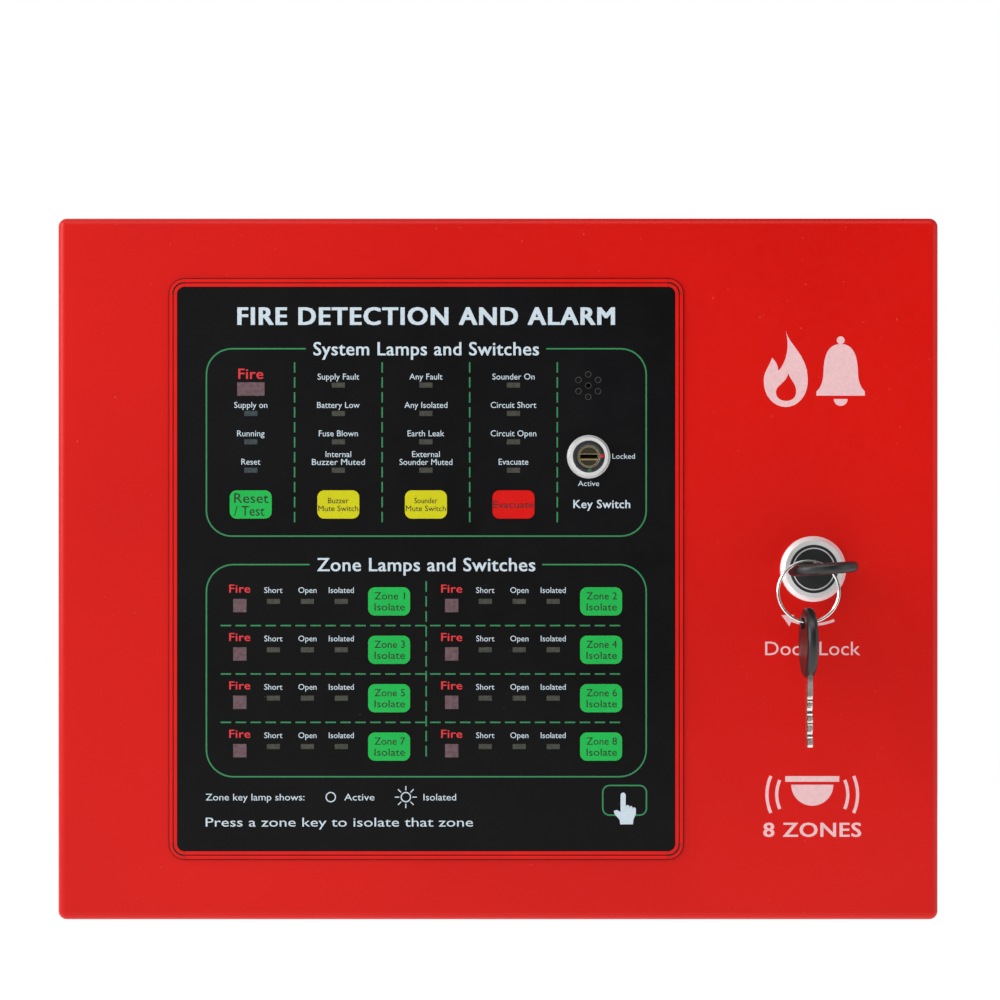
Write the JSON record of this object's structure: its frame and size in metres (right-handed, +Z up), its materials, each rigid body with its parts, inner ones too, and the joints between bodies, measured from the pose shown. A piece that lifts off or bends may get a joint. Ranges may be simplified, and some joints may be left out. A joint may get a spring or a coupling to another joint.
{
  "type": "fire alarm control panel",
  "caption": "Wall-mounted steel fire alarm control panel: hinged locking door with lamps, push keys, key switch and keys in its lock; boards, supply and batteries inside the box.",
  "frame": {"origin": "centre of the back face, in the wall plane, at the centre of the wall screw holes", "axes": "+X to the right seen from the front, +Y into the wall, +Z up"},
  "size_m": [0.36, 0.1264, 0.287],
  "materials": {
    "red_paint": "smooth red powder coat",
    "zinc_steel": "zinc-plated sheet and pins",
    "seal_foam": "closed-cell foam strip",
    "membrane_black": "black printed polycarbonate membrane",
    "key_green": "green push key",
    "key_yellow": "yellow push key",
    "key_red": "red push key",
    "lamp_red": "tinted red lamp",
    "lamp_yellow": "tinted yellow lamp",
    "lamp_green": "tinted green lamp",
    "board_green": "solder-masked circuit board",
    "black_plastic": "moulded black plastic",
    "key_head": "moulded key head",
    "chrome_trim": "bright chrome plate",
    "plug_black": "black-faced lock plug",
    "nickel_steel": "nickel-plated steel",
    "brass_fittings": "turned brass",
    "screw_steel": "bright screws",
    "terminal_green": "green terminal blocks",
    "relay_shell": "relay case",
    "capacitor_sleeve": "shrink sleeve",
    "fuse_parts": "glass fuse and clips",
    "terminal_grey": "moulded terminal block",
    "battery_case": "sealed battery case"
  },
  "bodies": {
    "box": {"back_box": "red_paint", "door_gasket": "seal_foam", "hinge_tabs": "zinc_steel", "hinge_pins": "zinc_steel", "main_board": "board_green", "main_board_standoffs": "brass_fittings", "main_board_screws": "screw_steel", "zone_terminals": "terminal_green", "relays": "relay_shell", "capacitors": "capacitor_sleeve", "main_board_chips": "black_plastic", "main_board_header": "black_plastic", "board_fuses": "fuse_parts", "power_supply_case": "zinc_steel", "power_supply_terminals": "terminal_grey", "mains_terminal_block": "terminal_grey", "earth_stud": "brass_fittings", "batteries": "battery_case", "battery_terminals": "brass_fittings", "battery_bracket": "zinc_steel"},
    "door": {"door_panel": "red_paint", "door_hinge_brackets": "zinc_steel", "front_overlay": "membrane_black", "tact_switches": "black_plastic", "status_lamps": "lamp_green", "fault_lamps": "lamp_yellow", "fire_lamps": "lamp_red", "display_board": "board_green", "display_standoffs": "brass_fittings", "display_screws": "screw_steel", "display_chips": "black_plastic", "display_header": "black_plastic", "buzzer": "black_plastic", "keyswitch_body": "chrome_trim", "keyswitch_nut": "chrome_trim", "keyswitch_contacts": "black_plastic", "lock_body": "chrome_trim", "lock_ring": "black_plastic", "lock_nut": "chrome_trim"},
    "lock_cylinder": {"lock_plug": "plug_black", "lock_cam": "nickel_steel", "cam_screw": "zinc_steel"},
    "door_key": {"door_key_bow": "key_head", "door_key_blade": "nickel_steel"},
    "ring": {"key_ring": "nickel_steel"},
    "spare_key": {"spare_key_bow": "key_head", "spare_key_blade": "nickel_steel"},
    "keyswitch": {"keyswitch_plug": "chrome_trim"},
    "key_reset_test": {"key_reset_test": "key_green"},
    "key_buzzer_silence": {"key_buzzer_silence": "key_yellow"},
    "key_sounder_silence": {"key_sounder_silence": "key_yellow"},
    "key_evacuate": {"key_evacuate": "key_red"},
    "key_zone_1": {"key_zone_1": "key_green"},
    "key_zone_2": {"key_zone_2": "key_green"},
    "key_zone_3": {"key_zone_3": "key_green"},
    "key_zone_4": {"key_zone_4": "key_green"},
    "key_zone_5": {"key_zone_5": "key_green"},
    "key_zone_6": {"key_zone_6": "key_green"},
    "key_zone_7": {"key_zone_7": "key_green"},
    "key_zone_8": {"key_zone_8": "key_green"}
  },
  "joints": [
    {"name": "door_swing", "type": "hinge", "parent": "box", "child": "door", "pos_m": [-0.175, -0.073, 0], "axis": [0, 0, -1], "range_deg": [0, 115]},
    {"name": "lock_turn", "type": "hinge", "parent": "door", "child": "lock_cylinder", "pos_m": [0.1283, -0.085, 0], "axis": [0, -1, 0], "range_deg": [0, 90]},
    {"name": "key_withdraw", "type": "slide", "parent": "lock_cylinder", "child": "door_key", "axis": [0, -1, 0], "range_m": [0, 0.03]},
    {"name": "ring_roll", "type": "hinge", "parent": "door_key", "child": "ring", "pos_m": [0.1226, -0.11255, -0.0089], "axis": [0, 1, 0], "range_deg": [-50, 90]},
    {"name": "spare_key_swing", "type": "hinge", "parent": "ring", "child": "spare_key", "pos_m": [0.1226, -0.11255, -0.0209], "axis": [1, 0, 0], "range_deg": [-60, 20]},
    {"name": "keyswitch_turn", "type": "hinge", "parent": "door", "child": "keyswitch", "pos_m": [0.0369, -0.085, 0.0457], "axis": [0, 1, 0], "range_deg": [0, 90]},
    {"name": "press_reset_test", "type": "slide", "parent": "door", "child": "key_reset_test", "axis": [0, 1, 0], "range_m": [0, 0.0003], "stiffness_N_per_m": 2000},
    {"name": "press_buzzer_silence", "type": "slide", "parent": "door", "child": "key_buzzer_silence", "axis": [0, 1, 0], "range_m": [0, 0.0003], "stiffness_N_per_m": 2000},
    {"name": "press_sounder_silence", "type": "slide", "parent": "door", "child": "key_sounder_silence", "axis": [0, 1, 0], "range_m": [0, 0.0003], "stiffness_N_per_m": 2000},
    {"name": "press_evacuate", "type": "slide", "parent": "door", "child": "key_evacuate", "axis": [0, 1, 0], "range_m": [0, 0.0003], "stiffness_N_per_m": 2000},
    {"name": "press_zone_1", "type": "slide", "parent": "door", "child": "key_zone_1", "axis": [0, 1, 0], "range_m": [0, 0.0003], "stiffness_N_per_m": 2000},
    {"name": "press_zone_2", "type": "slide", "parent": "door", "child": "key_zone_2", "axis": [0, 1, 0], "range_m": [0, 0.0003], "stiffness_N_per_m": 2000},
    {"name": "press_zone_3", "type": "slide", "parent": "door", "child": "key_zone_3", "axis": [0, 1, 0], "range_m": [0, 0.0003], "stiffness_N_per_m": 2000},
    {"name": "press_zone_4", "type": "slide", "parent": "door", "child": "key_zone_4", "axis": [0, 1, 0], "range_m": [0, 0.0003], "stiffness_N_per_m": 2000},
    {"name": "press_zone_5", "type": "slide", "parent": "door", "child": "key_zone_5", "axis": [0, 1, 0], "range_m": [0, 0.0003], "stiffness_N_per_m": 2000},
    {"name": "press_zone_6", "type": "slide", "parent": "door", "child": "key_zone_6", "axis": [0, 1, 0], "range_m": [0, 0.0003], "stiffness_N_per_m": 2000},
    {"name": "press_zone_7", "type": "slide", "parent": "door", "child": "key_zone_7", "axis": [0, 1, 0], "range_m": [0, 0.0003], "stiffness_N_per_m": 2000},
    {"name": "press_zone_8", "type": "slide", "parent": "door", "child": "key_zone_8", "axis": [0, 1, 0], "range_m": [0, 0.0003], "stiffness_N_per_m": 2000}
  ]
}
